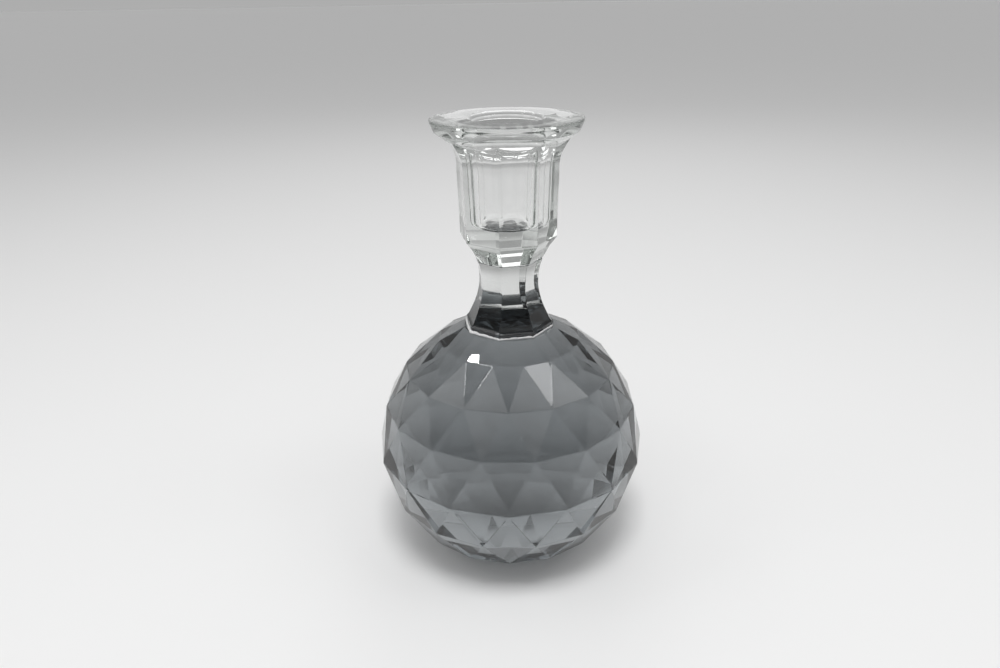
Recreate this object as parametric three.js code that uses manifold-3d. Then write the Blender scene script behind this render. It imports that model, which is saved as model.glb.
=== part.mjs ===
// Crystal candlestick: a faceted smoke-grey glass ball carrying a clear octagonal neck and a clear
// candle cup, the three glass pieces bonded by two thin films of clear adhesive.
// Millimetres, +Z up, origin at the middle of the ball's flat base.
import * as THREE from 'three';
import { mergeVertices } from 'three/addons/utils/BufferGeometryUtils.js';
import Module from 'manifold-3d';

const wasm = await Module();
wasm.setup();

// Driving dimensions
const TOTAL_HEIGHT = 160;
const BALL_DIAMETER = 100; // across the corners of the girdle
const RIM_DIAMETER = 50;
const SOCKET_MOUTH_DIAMETER = 26; // at the rim's top face, where the lead-in starts
const SOCKET_TOP_DIAMETER = 22; // below the lead-in, for a standard dinner candle
const SOCKET_FLOOR_DIAMETER = 20;
const SOCKET_DEPTH = 35;
const FILM = 0.25; // thickness of each adhesive film

// Ball: sixteen facets round, in rows between rings of corners
const FACETS_ROUND = 16;
const GIRDLE_HEIGHT = 40.75;
const APEX_HEIGHT = 42.75; // where the crown's down-pointing triangles end, just above the girdle
const LOWER_RINGS = [
  { radius: 25.6, height: 0 },
  { radius: 37.75, height: 10.5 },
  { radius: 46.25, height: 24.5 },
];
const UPPER_RINGS = [
  { radius: 46.1, height: 59 },
  { radius: 38, height: 72.75 },
];
const CROWN_RING = { radius: 25.6, height: 83.25 };
const TABLE_RADIUS = 16.1;
const TABLE_HEIGHT = 88.25;

// Neck: eight-sided, its corners in line with every second edge of the long crown facets
const NECK_SIDES = 8;
const NECK_FOOT_RADIUS = 15.7;
const NECK_BASE = TABLE_HEIGHT + FILM;
const NECK_FOOT_TOP = 90.25;
const NECK_TOP = 113.25;
const NECK_TOP_RADIUS = 12;
const NECK_STEPS = 18;
const LOWER_FILM_RADIUS = 15.9; // just proud of the foot

// Cup: eight-sided body under a round lip, glued on slightly out of line with the neck
const CUP_TURN = THREE.MathUtils.degToRad(2.5);
const CUP_BASE = NECK_TOP + FILM;
const CUP_BASE_RADIUS = 12.2;
const FLANK_TOP = 155; // the flanks end inside the lip
const FLANK_TOP_RADIUS = 20.6;
const COVE_BASE = 148.5; // the lip's underside starts inside the flanks
const LEAD_IN_DEPTH = 4;
const LEAD_IN_STEPS = 6;
const BORE_OVERRUN = 2; // how far the bore's cutter stands above the rim
const PROFILE_STEPS = 14;
const ROUND_SIDES = 64;

const FIRST_CORNER = Math.PI / NECK_SIDES; // puts a flat towards -Y
const girdleRadius = BALL_DIAMETER / 2;
const chord = Math.cos(Math.PI / FACETS_ROUND);

const point = (radius, height) => new THREE.Vector2(radius, height);

function spline(points, steps) {
  return new THREE.SplineCurve(points).getPoints(steps);
}

// A profile (radius, height) listed from the bottom up its outer side, swept round the Z axis
function swept(profile, sides, turn = 0) {
  const geometry = new THREE.LatheGeometry(profile, sides, turn);
  geometry.rotateX(Math.PI / 2);
  return geometry;
}

function toSolid(geometry) {
  geometry.deleteAttribute('normal');
  geometry.deleteAttribute('uv');
  const merged = mergeVertices(geometry, 1e-4);
  const corners = merged.index.array;
  const kept = [];
  for (let i = 0; i < corners.length; i += 3) {
    const [a, b, c] = corners.slice(i, i + 3);
    if (a !== b && b !== c && c !== a) kept.push(a, b, c);
  }
  const vertProperties = new Float32Array(merged.attributes.position.array);
  const triVerts = new Uint32Array(kept);
  return new wasm.Manifold(new wasm.Mesh({ numProp: 3, vertProperties, triVerts }));
}

function toGeometry(solid) {
  const { vertProperties, triVerts } = solid.getMesh();
  const geometry = new THREE.BufferGeometry();
  geometry.setAttribute('position', new THREE.BufferAttribute(vertProperties, 3));
  geometry.setIndex(new THREE.BufferAttribute(triVerts, 1));
  geometry.computeVertexNormals();
  return geometry;
}

function ringPoint(radius, height, angle) {
  return [radius * Math.sin(angle), -radius * Math.cos(angle), height];
}

// The ball. Corner k of a ring stands at k steps round, plus half a step on every second ring, so
// the rows between rings are bands of alternating triangles.
function ballGeometry() {
  const step = (2 * Math.PI) / FACETS_ROUND;
  const positions = [];
  const triangles = [];

  const addPoint = (xyz) => positions.push(...xyz) / 3 - 1;
  const addRing = (radius, height, offset) => {
    const addCorner = (_, k) => addPoint(ringPoint(radius, height, step * (k + offset)));
    return Array.from({ length: FACETS_ROUND }, addCorner);
  };
  const next = (k) => (k + 1) % FACETS_ROUND;

  // Triangles between a ring and the one above it, which stands half a step on or back
  function addBand(low, high, highLeads) {
    for (let k = 0; k < FACETS_ROUND; k++) {
      const over = highLeads ? k : next(k);
      const under = highLeads ? next(k) : k;
      triangles.push(low[k], low[next(k)], high[over]);
      triangles.push(high[next(k)], high[k], low[under]);
    }
  }

  function addDisc(ring, faceUp) {
    for (let k = 1; k < ring.length - 1; k++) {
      triangles.push(ring[0], ring[faceUp ? k : k + 1], ring[faceUp ? k + 1 : k]);
    }
  }

  // Crown triangles stop just above the girdle. Between them the facets run on down to it in one
  // plane, which sets the radius of the ring of apexes.
  const shoulder = UPPER_RINGS[0];
  const reach = (shoulder.height - APEX_HEIGHT) / (shoulder.height - GIRDLE_HEIGHT);
  const apexRadius = (shoulder.radius + (girdleRadius * chord - shoulder.radius) * reach) / chord;

  const base = addRing(LOWER_RINGS[0].radius, LOWER_RINGS[0].height, 0);
  const lower = addRing(LOWER_RINGS[1].radius, LOWER_RINGS[1].height, 0.5);
  const belly = addRing(LOWER_RINGS[2].radius, LOWER_RINGS[2].height, 0);
  const girdle = addRing(girdleRadius, GIRDLE_HEIGHT, 0.5);
  const apexes = addRing(apexRadius, APEX_HEIGHT, 0.5);
  const upper = addRing(shoulder.radius, shoulder.height, 0);
  const neckward = addRing(UPPER_RINGS[1].radius, UPPER_RINGS[1].height, 0.5);

  addDisc(base, false);
  addBand(base, lower, true);
  addBand(lower, belly, false);
  addBand(belly, girdle, true);
  for (let k = 0; k < FACETS_ROUND; k++) {
    triangles.push(girdle[k], girdle[next(k)], apexes[k]);
    triangles.push(apexes[next(k)], apexes[k], girdle[next(k)]);
  }
  addBand(apexes, upper, false);
  addBand(upper, neckward, true);

  // Long crown facets run from the crown ring up to the table
  const crown = addRing(CROWN_RING.radius, CROWN_RING.height, 0);
  const table = addRing(TABLE_RADIUS, TABLE_HEIGHT, 0);
  addBand(neckward, crown, false);
  for (let k = 0; k < FACETS_ROUND; k++) {
    triangles.push(crown[k], crown[next(k)], table[next(k)]);
    triangles.push(crown[k], table[next(k)], table[k]);
  }
  addDisc(table, true);

  const geometry = new THREE.BufferGeometry();
  geometry.setAttribute('position', new THREE.BufferAttribute(new Float32Array(positions), 3));
  geometry.setIndex(triangles);
  geometry.computeVertexNormals();
  return geometry;
}

// The neck: a short straight foot, then a waisted stem that spreads again under the cup
function neckGeometry() {
  const stem = spline(
    [
      point(15.3, NECK_FOOT_TOP),
      point(13.8, 93.2),
      point(12, 97.4),
      point(10.8, 102),
      point(10.6, 105.5),
      point(11, 109.5),
      point(NECK_TOP_RADIUS, NECK_TOP),
    ],
    NECK_STEPS,
  );
  const profile = [
    point(0, NECK_BASE),
    point(NECK_FOOT_RADIUS, NECK_BASE),
    point(NECK_FOOT_RADIUS, NECK_FOOT_TOP),
    ...stem,
    point(0, NECK_TOP),
  ];
  return swept(profile, NECK_SIDES, FIRST_CORNER);
}

// A film of adhesive between two glass faces
function filmGeometry(radius, bottom, top) {
  const profile = [point(0, bottom), point(radius, bottom), point(radius, top), point(0, top)];
  return swept(profile, NECK_SIDES, FIRST_CORNER);
}

// The cup: an eight-sided body, bevelled at the bottom, runs up into a round lip. The lip's underside
// meets the flats in scallops. The candle socket is bored from the top.
function cupGeometry() {
  const rim = RIM_DIAMETER / 2;
  const flanks = spline(
    [point(16.8, 121), point(16.9, 131), point(17.2, 140), point(18, 149), point(FLANK_TOP_RADIUS, 153.6)],
    PROFILE_STEPS,
  );
  const body = [
    point(0, CUP_BASE),
    point(CUP_BASE_RADIUS, CUP_BASE),
    point(14.5, 118),
    ...flanks,
    point(FLANK_TOP_RADIUS, FLANK_TOP),
    point(0, FLANK_TOP),
  ];
  const cove = spline(
    [point(15.6, COVE_BASE), point(16.8, 150.5), point(18.9, 152.8), point(21, 154.1)],
    PROFILE_STEPS,
  );
  const lip = [
    point(0, COVE_BASE),
    ...cove,
    point(23.8, 156.2),
    point(rim - 0.1, 158.8),
    point(rim, 159),
    point(rim, TOTAL_HEIGHT - 0.2),
    point(rim - 0.2, TOTAL_HEIGHT),
    point(0, TOTAL_HEIGHT),
  ];

  const floor = TOTAL_HEIGHT - SOCKET_DEPTH;
  const floorRadius = SOCKET_FLOOR_DIAMETER / 2;
  const leadIn = spline(
    [
      point(SOCKET_TOP_DIAMETER / 2, TOTAL_HEIGHT - LEAD_IN_DEPTH),
      point(SOCKET_TOP_DIAMETER / 2 + 0.5, TOTAL_HEIGHT - 1.75),
      point(SOCKET_MOUTH_DIAMETER / 2, TOTAL_HEIGHT),
    ],
    LEAD_IN_STEPS,
  );
  const socket = [
    point(0, floor),
    point(floorRadius - 2, floor),
    point(floorRadius - 0.6, floor + 0.6),
    point(floorRadius, floor + 2),
    ...leadIn,
    point(SOCKET_MOUTH_DIAMETER / 2, TOTAL_HEIGHT + BORE_OVERRUN),
    point(0, TOTAL_HEIGHT + BORE_OVERRUN),
  ];

  const flanked = toSolid(swept(body, NECK_SIDES, FIRST_CORNER + CUP_TURN));
  const lipped = flanked.add(toSolid(swept(lip, ROUND_SIDES)));
  return toGeometry(lipped.subtract(toSolid(swept(socket, ROUND_SIDES))));
}

function glass(color, opacity) {
  return new THREE.MeshStandardMaterial({ color, opacity, transparent: true, roughness: 0.03 });
}

function piece(name, geometry, material) {
  const mesh = new THREE.Mesh(geometry, material);
  mesh.name = name;
  return mesh;
}

const candlestick = new THREE.Group();
candlestick.add(
  piece('ball', ballGeometry(), glass('#54585d', 0.85)),
  piece('lower_adhesive', filmGeometry(LOWER_FILM_RADIUS, TABLE_HEIGHT, NECK_BASE), glass('#e6e8e6', 0.6)),
  piece('neck', neckGeometry(), glass('#e2e6e4', 0.35)),
  piece('upper_adhesive', filmGeometry(NECK_TOP_RADIUS, NECK_TOP, CUP_BASE), glass('#e6e8e6', 0.6)),
  piece('candle_cup', cupGeometry(), glass('#e2e6e4', 0.35)),
);

export default candlestick;
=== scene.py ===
"""Crystal candlestick: faceted smoke-glass ball, clear eight-sided neck and clear candle cup.

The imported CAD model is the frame. Every glass piece is remade here round its CAD solid with fine,
slightly rounded edges, and its material is made of nodes. Lengths are in metres unless named _MM,
and a point on a profile is (height, radius).
"""

import math

import bmesh
import bpy
import numpy as np
from mathutils import Matrix, Quaternion, Vector


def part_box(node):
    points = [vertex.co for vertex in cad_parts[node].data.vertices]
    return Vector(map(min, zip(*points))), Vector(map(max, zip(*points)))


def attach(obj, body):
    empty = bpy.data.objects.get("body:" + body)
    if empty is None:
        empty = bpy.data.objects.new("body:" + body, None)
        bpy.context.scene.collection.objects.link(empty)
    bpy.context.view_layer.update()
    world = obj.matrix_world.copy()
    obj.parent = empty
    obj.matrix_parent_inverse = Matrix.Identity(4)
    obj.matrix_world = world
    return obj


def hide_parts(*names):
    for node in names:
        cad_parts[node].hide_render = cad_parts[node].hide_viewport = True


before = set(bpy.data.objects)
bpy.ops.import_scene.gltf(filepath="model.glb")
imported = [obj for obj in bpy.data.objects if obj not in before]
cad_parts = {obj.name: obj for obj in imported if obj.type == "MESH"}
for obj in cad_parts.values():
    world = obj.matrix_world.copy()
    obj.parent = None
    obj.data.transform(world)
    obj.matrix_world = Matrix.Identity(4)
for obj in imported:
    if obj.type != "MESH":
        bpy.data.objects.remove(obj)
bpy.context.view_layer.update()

MM = 0.001
HAIR = 0.02 * MM  # between bonded faces: the tint inside the glass is lost where faces coincide
SIDES = 8
FIRST_CORNER = math.pi / SIDES
CUP_TURN = math.radians(2.5)
BETWEEN_JOINTS = 0.1  # a height between the two bonds
GROOVE_RADIUS = 11.4 * MM  # the adhesive of the upper joint ends here

ARRIS_WIDTH = 0.18 * MM
NECK_EDGE = 0.12 * MM
CUP_EDGE_MM = 0.15
RIM_ROUND_MM = 0.35

# Cup: its bevelled underside with each edge drawn twice, its flanks, and the lip's underside
CUP_FOOT_MM = 12.2
BEVEL_MM = ((117.9, 14.45), (118.1, 14.6), (120.85, 16.7), (121.05, 16.8))
FLANKS_MM = ((121.0, 16.8), (131.0, 16.9), (140.0, 17.2), (149.0, 18.0), (153.6, 20.6), (155.0, 21.4))
COVE_MM = ((148.5, 15.6), (150.5, 16.8), (152.8, 18.9), (154.1, 21.0), (156.2, 23.8))

# Socket: radii at its mouth, below the lead-in and at its floor, and its depths
MOUTH_MM, SOCKET_TOP_MM, SOCKET_FLOOR_MM = 13.0, 11.0, 10.0
LEAD_IN_MM, SOCKET_DEPTH_MM, SOCKET_FILLET_MM = 4.0, 35.0, 2.0

# Bead of adhesive round the foot: how far out and up it stands, and how much more on its heavy side
BEAD_REACH_MM, BEAD_EXTRA_REACH_MM = 0.22, 0.5
BEAD_LIFT_MM, BEAD_EXTRA_LIFT_MM = 0.55, 0.25
BEAD_HEAVY_SIDE = math.radians(-85)

ARRIS_ROUGHNESS = 0.04

FLOOR_REACH = 60.0
FLOOR_DROP = 0.2 * MM
FLOOR_SHADE = 0.85

LAMP_DISTANCE = 1.0
KEY_AZIMUTH = -10
KEY_ELEVATION = 73
# Lamps that the facets mirror: the point they are seen from (mm), azimuth, elevation, width and
# height (degrees), radiance and, where it matters, spin
MIRRORED_LAMPS = {
    "left_panel": ((-12, -30, 76), -50, 61, 22, 16, 0.9),
    "right_panel": ((5, -33, 76), 28, 61, 22, 16, 0.9),
    "far_left_panel": ((-24, -30, 74), -92, 44, 22, 20, 0.9),
    "far_right_panel": ((14, -34, 74), 72, 49, 22, 9, 1.6),
    "back_panel": ((0, 0, 120), 166, 36, 30, 18, 1.1),
    "right_lamp": ((5, -28, 80), 59.2, 62.5, 5, 9, 4.3, -35),
    "right_edge_lamp": ((8, -30, 78), 69.2, 55.0, 3, 3, 6),
    "left_edge_lamp": ((-18, -25, 79), -94.0, 54.0, 3, 3, 4),
    "left_high_lamp": ((-16, -27, 79), -68.0, 65.5, 3, 6, 4.5),
    "left_top_lamp": ((-14, -18, 84), -108.0, 66.0, 3, 3, 4),
    "window": ((-15, -17.6, 84.4), -133.4, 65.8, 1.0, 1.3, 40, 20),
}

# Brightness of the room by height (the sine of the elevation), before and behind the object
SKY_PEAK = 0.8
SKY_FRONT = (
    (0.0, 0.42),
    (0.14, 0.42),
    (0.20, 0.12),
    (0.36, 0.12),
    (0.43, 0.60),
    (0.55, 0.80),
    (0.68, 0.50),
    (0.75, 0.20),
    (0.95, 0.22),
    (1.0, 0.30),
)
SKY_BACK = (
    (0.0, 0.42),
    (0.03, 0.42),
    (0.07, 0.78),
    (0.18, 0.72),
    (0.30, 0.48),
    (0.60, 0.42),
    (0.80, 0.50),
    (0.95, 0.40),
    (1.0, 0.40),
)
SKY_BLEND = 0.35  # the two pass into each other where a direction's Y is between minus this and this


# ---------------------------------------------------------------- sizes taken from the frame


def profile_of(node, turn):
    """The profile up a corner of an eight-sided CAD node, from its own vertices."""
    edge = np.array([math.sin(turn), -math.cos(turn)])
    levels = {}
    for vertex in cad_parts[node].data.vertices:
        x, y, z = vertex.co
        along = float(np.dot(edge, (x, y)))
        across = abs(edge[0] * y - edge[1] * x)
        if along > MM and across < 0.01 * MM:
            height = round(z, 5)
            levels[height] = max(levels.get(height, 0.0), along)
    return sorted(levels.items())


def smooth_through(points, steps):
    """A smooth curve through the points of a profile, as steps + 1 points."""
    heights = np.array([p[0] for p in points])
    radii = np.array([p[1] for p in points])
    slopes = np.gradient(radii, heights)
    fine = np.linspace(heights[0], heights[-1], steps + 1)
    i = np.clip(np.searchsorted(heights, fine, side="right") - 1, 0, len(heights) - 2)
    span = heights[i + 1] - heights[i]
    t = (fine - heights[i]) / span
    h00 = 2 * t**3 - 3 * t**2 + 1
    h10 = t**3 - 2 * t**2 + t
    h01 = 1 - h00
    h11 = t**3 - t**2
    curve = h00 * radii[i] + h10 * span * slopes[i] + h01 * radii[i + 1] + h11 * span * slopes[i + 1]
    return list(zip(fine, curve, strict=True))


# ---------------------------------------------------------------- mesh making


def new_piece(name, vertices, faces, material, node):
    mesh = bpy.data.meshes.new(name)
    mesh.from_pydata([tuple(v) for v in vertices], [], [tuple(f) for f in faces])
    mesh.validate()
    mesh.update()
    piece = bpy.data.objects.new(name, mesh)
    bpy.context.scene.collection.objects.link(piece)
    mesh.materials.append(material)
    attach(piece, "root")
    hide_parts(node)
    return piece


def octagon_centres(turn):
    return turn + np.arange(SIDES) * 2 * math.pi / SIDES


def octagon_angles(turn, per_side, crowding=1.7):
    """Angles round the axis, closer together towards the eight corners."""
    t = np.linspace(-1, 1, per_side, endpoint=False)
    side = np.sign(t) * (1 - (1 - np.abs(t)) ** crowding) * math.pi / SIDES
    return np.concatenate([centre + side for centre in octagon_centres(turn)])


def octagon_share(angles, turn, sharpness=420):
    """Radius of a unit octagon (corner radius 1) at each angle, its corners slightly rounded."""
    facing = np.clip(np.cos(angles[:, None] - octagon_centres(turn)[None, :]), 0, None)
    norm = (facing**sharpness).sum(axis=1) ** (1 / sharpness)
    return math.cos(math.pi / SIDES) / norm


def swept(rings, angles):
    """Vertices and faces of a closed surface through rings of (radii, height), from pole to pole."""
    count = len(angles)
    directions = np.stack([np.sin(angles), -np.cos(angles)], axis=1)
    vertices = [(0.0, 0.0, rings[0][1])]
    for radii, height in rings:
        xy = directions * np.broadcast_to(radii, count)[:, None]
        vertices += [(x, y, height) for x, y in xy]
    vertices.append((0.0, 0.0, rings[-1][1]))
    top = len(vertices) - 1
    last = 1 + (len(rings) - 1) * count
    following = [(k + 1) % count for k in range(count)]
    faces = []
    for k, n in enumerate(following):
        faces.append((0, 1 + n, 1 + k))
        faces.append((top, last + k, last + n))
    for j in range(len(rings) - 1):
        low, high = 1 + j * count, 1 + (j + 1) * count
        for k, n in enumerate(following):
            faces.append((low + k, low + n, high + n, high + k))
    return vertices, faces


def swept_uneven(rings, angles):
    """As swept, where a ring's height may change round the axis."""
    count = len(angles)
    vertices, faces = swept([(radii, 0.0) for radii, _ in rings], angles)
    heights = [float(np.mean(rings[0][1]))]
    for _, height in rings:
        heights += list(np.broadcast_to(height, count))
    heights.append(float(np.mean(rings[-1][1])))
    vertices = [(v[0], v[1], z) for v, z in zip(vertices, heights, strict=True)]
    return vertices, faces


def mark_bonded(piece, is_bonded):
    """Faces in optical contact with a neighbour get exposed 0, all others 1."""
    mesh = piece.data
    exposed = mesh.attributes.new("exposed", "FLOAT", "FACE")
    for polygon in mesh.polygons:
        exposed.data[polygon.index].value = 0.0 if is_bonded(polygon) else 1.0


def is_flat(polygon):
    return abs(polygon.normal.z) > 0.999


def distance_out(polygon):
    return math.hypot(polygon.center.x, polygon.center.y)


def is_groove(polygon):
    """The rim of the upper joint, which the adhesive doesn't reach."""
    return polygon.center.z > BETWEEN_JOINTS and distance_out(polygon) > GROOVE_RADIUS


def shade(piece, angle=35):
    """Smooth shading, but for edges sharper than the angle in degrees."""
    piece.data.shade_smooth()
    piece.data.set_sharp_from_angle(angle=math.radians(angle))


# ---------------------------------------------------------------- materials


def node_material(name):
    material = bpy.data.materials.new(name)
    material.use_nodes = True
    tree = material.node_tree
    tree.nodes.clear()
    output = tree.nodes.new("ShaderNodeOutputMaterial")
    shader = tree.nodes.new("ShaderNodeBsdfPrincipled")
    tree.links.new(shader.outputs["BSDF"], output.inputs["Surface"])
    return material, tree, shader, output


def add_noise(tree, coordinates, scale, detail):
    noise = tree.nodes.new("ShaderNodeTexNoise")
    noise.inputs["Scale"].default_value = scale
    noise.inputs["Detail"].default_value = detail
    tree.links.new(coordinates.outputs["Object"], noise.inputs["Vector"])
    return noise.outputs["Fac"]


def add_waviness(tree, shader, coordinates, strength):
    """The slight unevenness of hand-polished facets."""
    bump = tree.nodes.new("ShaderNodeBump")
    bump.inputs["Strength"].default_value = strength
    bump.inputs["Distance"].default_value = 0.4 * MM
    tree.links.new(add_noise(tree, coordinates, 60.0, 2.0), bump.inputs["Height"])
    tree.links.new(bump.outputs["Normal"], shader.inputs["Normal"])


def add_polish(tree, shader, coordinates, haze):
    """Roughness that drifts between a clean polish and faint haze, and is coarser on the arrises."""
    span = tree.nodes.new("ShaderNodeMapRange")
    span.inputs["From Min"].default_value = 0.35
    span.inputs["From Max"].default_value = 0.75
    span.inputs["To Min"].default_value = 0.0
    span.inputs["To Max"].default_value = haze
    tree.links.new(add_noise(tree, coordinates, 90.0, 4.0), span.inputs["Value"])
    arris = tree.nodes.new("ShaderNodeAttribute")
    arris.attribute_name = "arris"
    ground = tree.nodes.new("ShaderNodeMath")
    ground.operation = "MULTIPLY_ADD"
    ground.inputs[1].default_value = ARRIS_ROUGHNESS
    tree.links.new(arris.outputs["Fac"], ground.inputs[0])
    tree.links.new(span.outputs["Result"], ground.inputs[2])
    tree.links.new(ground.outputs["Value"], shader.inputs["Roughness"])


def add_bonding(tree, shader):
    """Faces marked as bonded let light straight through: the adhesive matches the glass."""
    mark = tree.nodes.new("ShaderNodeAttribute")
    mark.attribute_name = "exposed"
    tree.links.new(mark.outputs["Fac"], shader.inputs["Alpha"])


def add_absorption(tree, output, colour, density):
    volume = tree.nodes.new("ShaderNodeVolumeAbsorption")
    volume.inputs["Color"].default_value = (*colour, 1)
    volume.inputs["Density"].default_value = density
    tree.links.new(volume.outputs["Volume"], output.inputs["Volume"])


def glass(name, ior, haze, waviness, colour, density, clearness=1.0):
    material, tree, shader, output = node_material(name)
    shader.inputs["Base Color"].default_value = (1, 1, 1, 1)
    shader.inputs["IOR"].default_value = ior
    shader.inputs["Transmission Weight"].default_value = clearness
    coordinates = tree.nodes.new("ShaderNodeTexCoord")
    add_waviness(tree, shader, coordinates, waviness)
    add_polish(tree, shader, coordinates, haze)
    add_bonding(tree, shader)
    add_absorption(tree, output, colour, density)
    return material


SMOKE = glass("smoke_crystal", 1.52, 0.02, 0.02, (0.13, 0.18, 0.21), 17.0)
CLEAR = glass("clear_crystal", 1.52, 0.02, 0.008, (0.46, 0.5, 0.47), 20.0)
ADHESIVE = glass("adhesive", 1.5, 0.5, 0.3, (0.6, 0.6, 0.6), 3.0, clearness=0.3)


# ---------------------------------------------------------------- the ball


def make_ball(foot_radius):
    """The CAD ball with its coplanar triangles joined and a fine bevel on every arris."""
    shape = bmesh.new()
    shape.from_mesh(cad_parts["ball"].data)
    bmesh.ops.remove_doubles(shape, verts=shape.verts, dist=1e-6)
    bmesh.ops.dissolve_limit(
        shape, angle_limit=math.radians(0.4), verts=shape.verts, edges=shape.edges
    )
    arris = shape.faces.layers.float.new("arris")
    strips = bmesh.ops.bevel(
        shape,
        geom=list(shape.edges) + list(shape.verts),
        offset=ARRIS_WIDTH,
        offset_type="OFFSET",
        segments=1,
        affect="EDGES",
        clamp_overlap=True,
    )
    for strip in strips["faces"]:
        strip[arris] = 1.0
    inset_bond(shape, foot_radius)
    bmesh.ops.recalc_face_normals(shape, faces=shape.faces)
    vertices = [tuple(v.co) for v in shape.verts]
    faces = [tuple(v.index for v in f.verts) for f in shape.faces]
    ground = [f[arris] for f in shape.faces]
    shape.free()
    piece = new_piece("smoke_ball", vertices, faces, SMOKE, "ball")
    piece.data.attributes.new("arris", "FLOAT", "FACE").data.foreach_set("value", ground)
    table = max(v[2] for v in vertices)

    def bonded(polygon):
        on_table = polygon.center.z > table - 0.01 * MM
        return on_table and distance_out(polygon) < foot_radius * 0.3

    mark_bonded(piece, bonded)


def inset_bond(shape, foot_radius):
    """Splits the table into the octagon under the neck's foot and the margin outside it."""
    table = max(shape.faces, key=lambda f: f.calc_center_median().z)
    height = table.calc_center_median().z
    corners = sorted(table.verts, key=lambda v: azimuth_of(v.co))
    bmesh.ops.delete(shape, geom=[table], context="FACES_ONLY")
    foot = []
    for k in range(SIDES):
        turn = 2 * math.pi * k / SIDES + FIRST_CORNER
        place = (foot_radius * math.sin(turn), -foot_radius * math.cos(turn), height)
        foot.append(shape.verts.new(place))
    shape.faces.new(foot)
    first = min(range(len(corners)), key=lambda i: (corners[i].co - foot[0].co).length)
    per_side = len(corners) // SIDES
    for k in range(SIDES):
        start = first + k * per_side
        around = [corners[(start + i) % len(corners)] for i in range(per_side + 1)]
        shape.faces.new([foot[k], *around, foot[(k + 1) % SIDES]])
    shape.verts.index_update()


def azimuth_of(point):
    return math.atan2(point.x, -point.y) % (2 * math.pi)


# ---------------------------------------------------------------- the neck


def make_neck(profile):
    """Eight-sided stem: straight foot, then the waisted curve of the CAD profile, drawn finely."""
    angles = octagon_angles(0.0, 20)
    share = octagon_share(angles, 0.0)
    (base_z, base_radius), (foot_z, foot_radius) = profile[:2]
    top_z, top_radius = profile[-1]
    base_z, top_z = base_z + HAIR, top_z - HAIR
    rings = [
        (share * base_radius * 0.5, base_z),
        (share * (base_radius - NECK_EDGE), base_z),
        (share * base_radius, base_z + NECK_EDGE),
        (share * foot_radius, foot_z - NECK_EDGE),
    ]
    for height, radius in smooth_through(profile[2:], 150):
        rings.append((share * radius, min(height, top_z - NECK_EDGE)))
    rings.append((share * (top_radius - NECK_EDGE), top_z))
    rings.append((share * GROOVE_RADIUS, top_z))
    rings.append((share * top_radius * 0.5, top_z))
    vertices, faces = swept(rings, angles)
    piece = new_piece("clear_neck", vertices, faces, CLEAR, "neck")
    shade(piece)

    def bonded(polygon):
        inside = is_flat(polygon) and distance_out(polygon) < base_radius
        return inside and not is_groove(polygon)

    mark_bonded(piece, bonded)


# ---------------------------------------------------------------- the cup


def smooth_max(a, b, blend):
    return (a + b + np.sqrt((a - b) ** 2 + blend**2)) / 2


def make_cup():
    low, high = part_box("candle_cup")
    angles = octagon_angles(CUP_TURN, 44)
    share = octagon_share(angles, CUP_TURN)
    rings = cup_body_rings((low.z + HAIR) / MM, share)
    rings += rim_rings((high.x - low.x) / 2 / MM, high.z / MM)
    rings += socket_rings(high.z / MM)
    rings = [(radius * MM, height * MM) for radius, height in rings]
    vertices, faces = swept(rings, angles)
    piece = new_piece("clear_cup", vertices, faces, CLEAR, "candle_cup")
    shade(piece, 30)

    def bonded(polygon):
        underside = is_flat(polygon) and polygon.center.z < low.z + MM
        return underside and not is_groove(polygon)

    mark_bonded(piece, bonded)


def cup_body_rings(low, share):
    """The eight-sided body from its foot up, passing into the lip's round underside. In mm."""
    flanks = np.array(smooth_through(FLANKS_MM, 300))
    cove = np.array(smooth_through(COVE_MM, 200))
    flanks_base, flanks_top = FLANKS_MM[0][0], FLANKS_MM[-1][0]
    cove_base, cove_top = COVE_MM[0][0], COVE_MM[-1][0]
    rings = [
        (share * 6.0, low),
        (share * GROOVE_RADIUS / MM, low),
        (share * (CUP_FOOT_MM - CUP_EDGE_MM), low),
        (share * CUP_FOOT_MM, low + CUP_EDGE_MM),
    ]
    rings += [(share * radius, height) for height, radius in BEVEL_MM]
    for z in np.arange(flanks_base + 0.5, cove_base, 0.75):
        rings.append((share * np.interp(z, flanks[:, 0], flanks[:, 1]), z))
    for z in np.arange(cove_base, cove_top, 0.12):
        body = share * np.interp(min(z, flanks_top), flanks[:, 0], flanks[:, 1])
        under_lip = np.full(len(share), np.interp(z, cove[:, 0], cove[:, 1]))
        rings.append((smooth_max(body, under_lip, 0.18), z))
    return rings


def rim_rings(rim, high):
    """The round rim, from the end of the cove to the edge of the top face. In mm."""
    rings = [(23.85, 156.3), (rim - 0.12, 158.8), (rim - 0.02, 159.05), (rim, 159.3)]
    middle, height = rim - RIM_ROUND_MM, high - RIM_ROUND_MM
    for turn in np.linspace(0, math.pi / 2, 7):
        out, up = math.cos(turn), math.sin(turn)
        rings.append((middle + RIM_ROUND_MM * out, height + RIM_ROUND_MM * up))
    return rings


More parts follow.
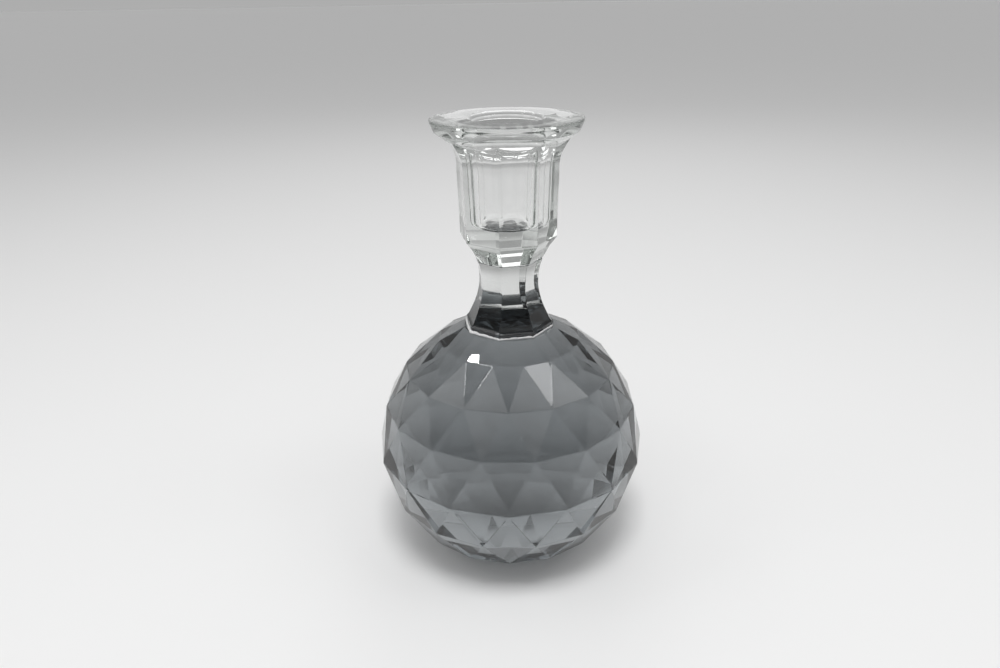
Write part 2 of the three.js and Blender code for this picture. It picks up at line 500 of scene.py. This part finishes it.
def socket_rings(high):
    """The bored socket, from the rim's top face down to the floor. In mm."""
    rings = []
    for t in np.linspace(0, 1, 13):
        inward = 1 - (1 - t) ** 2.2
        radius = MOUTH_MM - (MOUTH_MM - SOCKET_TOP_MM) * inward
        rings.append((radius, high - LEAD_IN_MM * t**1.3))
    bore_top = high - LEAD_IN_MM
    bore_base = high - SOCKET_DEPTH_MM + SOCKET_FILLET_MM
    for t in np.linspace(0.05, 1, 24):
        radius = SOCKET_TOP_MM - (SOCKET_TOP_MM - SOCKET_FLOOR_MM) * t
        rings.append((radius, bore_top - (bore_top - bore_base) * t))
    flat = SOCKET_FLOOR_MM - SOCKET_FILLET_MM
    for turn in np.linspace(0, math.pi / 2, 9)[1:]:
        out, down = math.cos(turn), math.sin(turn)
        rings.append((flat + SOCKET_FILLET_MM * out, bore_base - SOCKET_FILLET_MM * down))
    rings.append((flat / 2, high - SOCKET_DEPTH_MM))
    return rings


# ---------------------------------------------------------------- the adhesive


def make_lower_adhesive(foot_z, foot_radius):
    """The film under the foot, and the uneven bead squeezed out of it round the edge."""
    low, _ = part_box("lower_adhesive")
    angles = octagon_angles(0.0, 60)
    foot = octagon_share(angles, 0.0) * foot_radius
    rng = np.random.default_rng(7)
    count = len(angles)

    def uneven(spread, scale):
        steps = rng.normal(0, 1, count)
        kernel = np.exp(-np.linspace(-2, 2, 2 * scale + 1) ** 2)
        wide = np.concatenate([steps[-scale:], steps, steps[:scale]])
        soft = np.convolve(wide, kernel / np.sqrt((kernel**2).sum()), mode="valid")
        return soft * spread

    squeeze = np.clip(np.cos(angles - BEAD_HEAVY_SIDE), 0, 1) ** 3
    ragged = np.clip(uneven(0.05, 2) + uneven(0.05, 6), -0.12, 0.14)
    reach = (BEAD_REACH_MM + BEAD_EXTRA_REACH_MM * squeeze + ragged) * MM
    ragged = np.clip(uneven(0.08, 2) + uneven(0.06, 5), -0.2, 0.25)
    lift = (BEAD_LIFT_MM + BEAD_EXTRA_LIFT_MM * squeeze + ragged) * MM
    outer = foot + reach
    wall = foot + HAIR
    floor, ceiling = low.z + HAIR, foot_z - HAIR
    rings = [
        (foot * 0.5, floor),
        (foot, floor),
        (outer, floor),
        (outer + HAIR, floor + 0.25 * lift),
        (wall + 0.55 * reach, floor + 0.8 * lift),
        (wall + 0.15 * reach, floor + lift),
        (wall, ceiling + 0.05 * MM),
        (foot, ceiling),
        (foot * 0.5, ceiling),
    ]
    vertices, faces = swept_uneven(rings, angles)
    piece = new_piece("lower_bond", vertices, faces, ADHESIVE, "lower_adhesive")
    shade(piece, 60)
    mark_bonded(piece, lambda f: is_flat(f) and distance_out(f) < foot_radius * 0.95)


def make_upper_adhesive(top_radius):
    """The thin film between neck and cup, with a fine uneven edge."""
    low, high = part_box("upper_adhesive")
    angles = octagon_angles(0.0, 40)
    share = octagon_share(angles, 0.0)
    rng = np.random.default_rng(3)
    edge = GROOVE_RADIUS - np.abs(rng.normal(0.0, 0.06, len(angles))) * MM
    floor, ceiling = low.z + HAIR, high.z - HAIR
    rings = [
        (share * top_radius * 0.5, floor),
        (share * edge, floor),
        (share * (edge - 0.1 * MM), (floor + ceiling) / 2),
        (share * edge, ceiling),
        (share * top_radius * 0.5, ceiling),
    ]
    vertices, faces = swept(rings, angles)
    piece = new_piece("upper_bond", vertices, faces, ADHESIVE, "upper_adhesive")
    shade(piece, 60)
    mark_bonded(piece, is_flat)


# ---------------------------------------------------------------- stage, light and camera


def make_floor():
    material, _, shader, _ = node_material("pale_floor")
    shader.inputs["Base Color"].default_value = (FLOOR_SHADE, FLOOR_SHADE, FLOOR_SHADE, 1)
    shader.inputs["Roughness"].default_value = 0.9
    mesh = bpy.data.meshes.new("floor")
    corners = [(x * FLOOR_REACH, y * FLOOR_REACH, 0) for x, y in ((-1, -1), (1, -1), (1, 1), (-1, 1))]
    mesh.from_pydata(corners, [], [(0, 1, 2, 3)])
    mesh.materials.append(material)
    floor = bpy.data.objects.new("floor", mesh)
    bpy.context.scene.collection.objects.link(floor)
    floor.location.z = -FLOOR_DROP


def towards(azimuth, elevation):
    """Direction at an azimuth from the front, turning to the right, and an elevation, in degrees."""
    a, e = math.radians(azimuth), math.radians(elevation)
    return Vector((math.sin(a) * math.cos(e), -math.cos(a) * math.cos(e), math.sin(e)))


def add_softbox(name, aim, azimuth, elevation, width, height, radiance, spin=0.0):
    """A soft lamp that the point aim (mm) sees in the given direction, its angles in degrees."""
    light = bpy.data.lights.new(name, "AREA")
    light.shape = "RECTANGLE"
    light.size = math.radians(width) * LAMP_DISTANCE
    light.size_y = math.radians(height) * LAMP_DISTANCE
    light.energy = 4 * light.size * light.size_y * radiance
    lamp = bpy.data.objects.new(name, light)
    direction = towards(azimuth, elevation)
    lamp.location = direction * LAMP_DISTANCE + Vector(aim) * MM
    lamp.rotation_mode = "QUATERNION"
    roll = Quaternion((0, 0, 1), math.radians(spin))
    lamp.rotation_quaternion = direction.to_track_quat("Z", "Y") @ roll
    bpy.context.scene.collection.objects.link(lamp)
    return lamp


def add_fill(name, azimuth, elevation, strength):
    """Light as even near the object as far off, from a wide source in the given direction."""
    light = bpy.data.lights.new(name, "SUN")
    light.energy = strength
    light.angle = math.radians(25)
    lamp = bpy.data.objects.new(name, light)
    lamp.rotation_mode = "QUATERNION"
    lamp.rotation_quaternion = towards(azimuth, elevation).to_track_quat("Z", "Y")
    bpy.context.scene.collection.objects.link(lamp)
    return lamp


def add_lamps():
    """A key and a fill that only light, then the panels and small lamps that the facets mirror."""
    key = add_softbox("key", (0, 0, 0), KEY_AZIMUTH, KEY_ELEVATION, 16, 16, 12.0)
    fill = add_fill("fill", KEY_AZIMUTH, KEY_ELEVATION, 0.30)
    for lamp in (key, fill):
        lamp.visible_glossy = False
        lamp.visible_transmission = False
    for name, settings in MIRRORED_LAMPS.items():
        add_softbox(name, *settings)


def sky_ramp(tree, height, levels):
    ramp = tree.nodes.new("ShaderNodeValToRGB")
    stops = ramp.color_ramp.elements
    while len(stops) < len(levels):
        stops.new(0.5)
    for stop, (position, level) in zip(stops, levels, strict=True):
        stop.position = position
        stop.color = (level / SKY_PEAK,) * 3 + (1,)
    tree.links.new(height, ramp.inputs["Fac"])
    return ramp.outputs["Color"]


def make_world():
    """A room whose brightness changes with height, and differs before and behind the object."""
    world = bpy.data.worlds.new("studio")
    world.use_nodes = True
    tree = world.node_tree
    background = tree.nodes["Background"]
    coordinates = tree.nodes.new("ShaderNodeTexCoord")
    split = tree.nodes.new("ShaderNodeSeparateXYZ")
    depth = tree.nodes.new("ShaderNodeMapRange")
    depth.inputs["From Min"].default_value = -SKY_BLEND
    depth.inputs["From Max"].default_value = SKY_BLEND
    blend = tree.nodes.new("ShaderNodeMix")
    blend.data_type = "RGBA"
    tree.links.new(coordinates.outputs["Generated"], split.inputs["Vector"])
    tree.links.new(split.outputs["Y"], depth.inputs["Value"])
    factor, front, back = blend.inputs[0], blend.inputs[6], blend.inputs[7]
    tree.links.new(depth.outputs["Result"], factor)
    tree.links.new(sky_ramp(tree, split.outputs["Z"], SKY_FRONT), front)
    tree.links.new(sky_ramp(tree, split.outputs["Z"], SKY_BACK), back)
    tree.links.new(blend.outputs[2], background.inputs["Color"])
    background.inputs["Strength"].default_value = SKY_PEAK
    bpy.context.scene.world = world


def make_camera():
    """Placed where the photographer stood: about a quarter of a metre away and well above."""
    distance, height = 241.3 * MM, 194.0 * MM
    azimuth = math.radians(-10.2)
    pitch, yaw, roll = math.radians(-24.57), math.radians(0.79), math.radians(-1.0)
    data = bpy.data.cameras.new("camera")
    data.sensor_width = 36.0
    data.lens = 26.3
    camera = bpy.data.objects.new("camera", data)
    place = Vector((math.sin(azimuth) * distance, -math.cos(azimuth) * distance, height))
    upright = Matrix.Rotation(math.pi / 2, 4, "X")
    aim = Matrix.Rotation(azimuth + yaw, 4, "Z") @ Matrix.Rotation(pitch, 4, "X") @ upright
    camera.matrix_world = Matrix.Translation(place) @ aim @ Matrix.Rotation(roll, 4, "Z")
    bpy.context.scene.collection.objects.link(camera)
    bpy.context.scene.camera = camera


def set_light_paths():
    """Enough bounces for light to cross the ball and the cup and be turned back inside them."""
    scene = bpy.context.scene
    scene.cycles.max_bounces = 32
    scene.cycles.transmission_bounces = 32
    scene.cycles.glossy_bounces = 16
    scene.cycles.transparent_max_bounces = 32
    scene.view_settings.view_transform = "Standard"


neck_profile = profile_of("neck", FIRST_CORNER)
neck_base, neck_foot_radius = neck_profile[0]
neck_top_radius = neck_profile[-1][1]

make_camera()
make_ball(neck_foot_radius)
make_neck(neck_profile)
make_cup()
make_lower_adhesive(neck_base, neck_foot_radius)
make_upper_adhesive(neck_top_radius)
make_floor()
make_world()
add_lamps()
set_light_paths()
